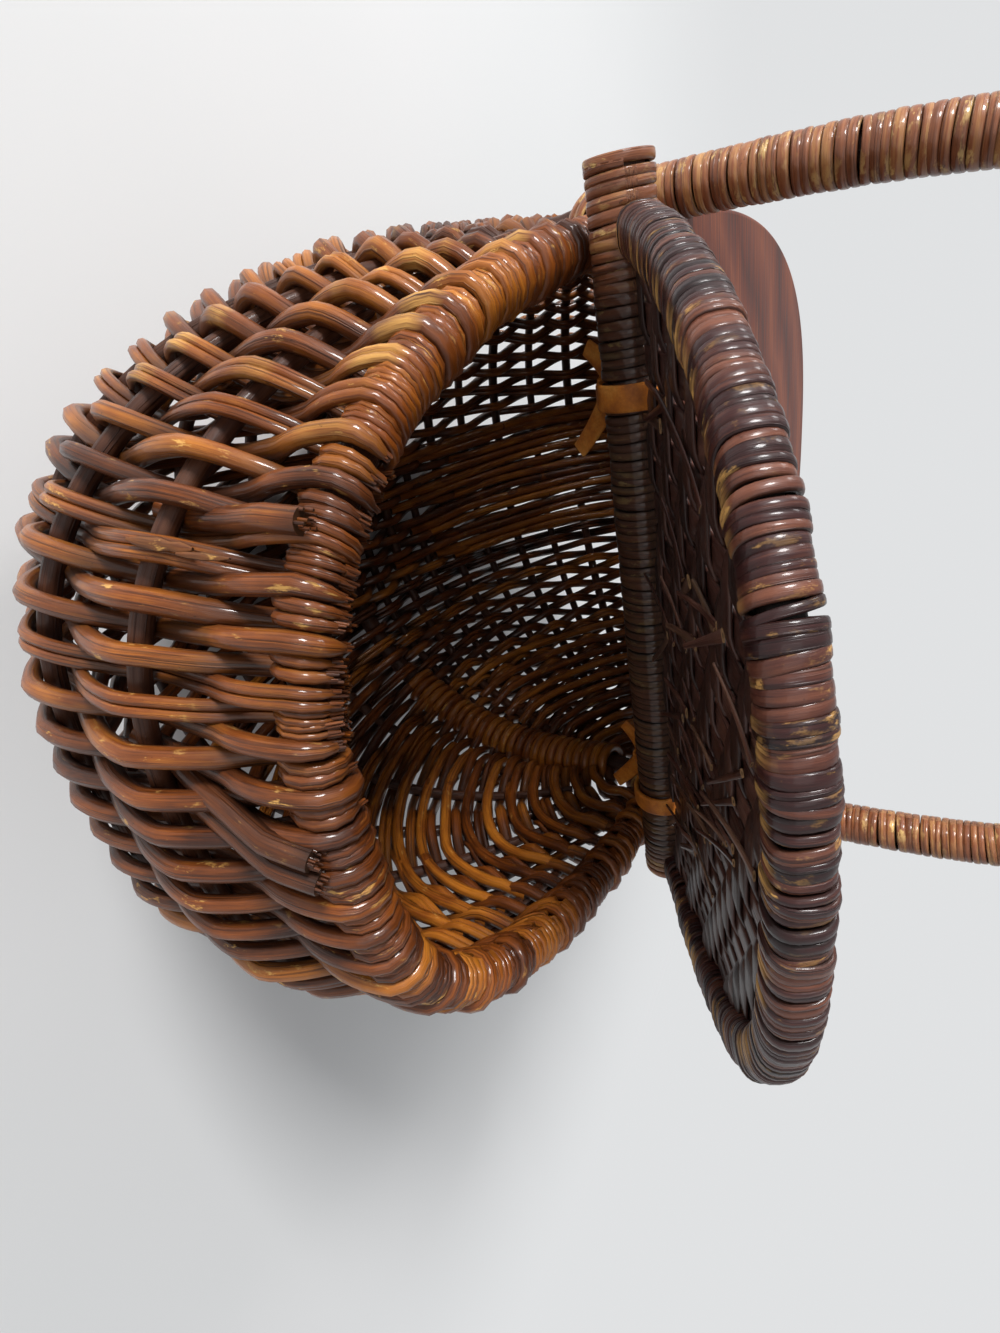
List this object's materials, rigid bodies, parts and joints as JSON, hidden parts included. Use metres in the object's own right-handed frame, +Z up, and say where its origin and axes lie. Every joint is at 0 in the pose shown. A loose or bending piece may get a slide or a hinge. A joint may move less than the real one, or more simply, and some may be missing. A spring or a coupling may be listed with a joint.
{
  "type": "lidded gathering basket",
  "caption": "Oval rib basket of woven willow rods with a wrapped bow handle, a wooden half deck and a woven half lid that swings up on leather ties.",
  "frame": {"origin": "middle of the flat base, on the surface that the basket stands on", "axes": "+Z up, X from ear to ear along the handle bow, -Y towards the lid"},
  "size_m": [0.2402, 0.3776, 0.394],
  "materials": {
    "willow_weave": "varnished round willow rods",
    "frame_rod": "dark stained bent rod",
    "handle_cane": "glossy split cane wound close",
    "lid_cane": "glossy split cane wound close",
    "lid_split": "flat dark splits, woven",
    "deck_wood": "stained board with the grain along X",
    "tie_leather": "tan leather thong",
    "nail_steel": "plain nail"
  },
  "bodies": {
    "basket": {"woven_wall_left": "willow_weave", "woven_wall_right": "willow_weave", "rib_front_1": "frame_rod", "rib_front_2": "frame_rod", "rib_front_3": "frame_rod", "rib_front_4": "frame_rod", "rib_front_5": "frame_rod", "rib_front_6": "frame_rod", "rib_back_1": "frame_rod", "rib_back_2": "frame_rod", "rib_back_3": "frame_rod", "rib_back_4": "frame_rod", "rib_back_5": "frame_rod", "rib_back_6": "frame_rod", "rim_hoop": "frame_rod", "handle_hoop": "frame_rod", "handle_binding": "handle_cane", "ear_lashing_left": "handle_cane", "ear_lashing_right": "handle_cane", "deck_board": "deck_wood", "lid_tie_left": "tie_leather", "lid_tie_right": "tie_leather", "deck_nail_left": "nail_steel", "deck_nail_right": "nail_steel"},
    "lid": {"lid_hoop": "frame_rod", "lid_binding": "lid_cane", "lid_hinge_rod": "frame_rod", "lid_rod_binding": "lid_cane", "lid_weave": "lid_split", "lid_stake_1": "frame_rod", "lid_stake_2": "frame_rod", "lid_stake_3": "frame_rod", "lid_stake_4": "frame_rod", "lid_stake_5": "frame_rod", "lid_stake_6": "frame_rod", "lid_stake_7": "frame_rod"}
  },
  "joints": [
    {"name": "lid_hinge", "type": "hinge", "parent": "basket", "child": "lid", "pos_m": [0, -0.048, 0.1944], "axis": [-1, 0, 0], "range_deg": [-34, 83]}
  ]
}
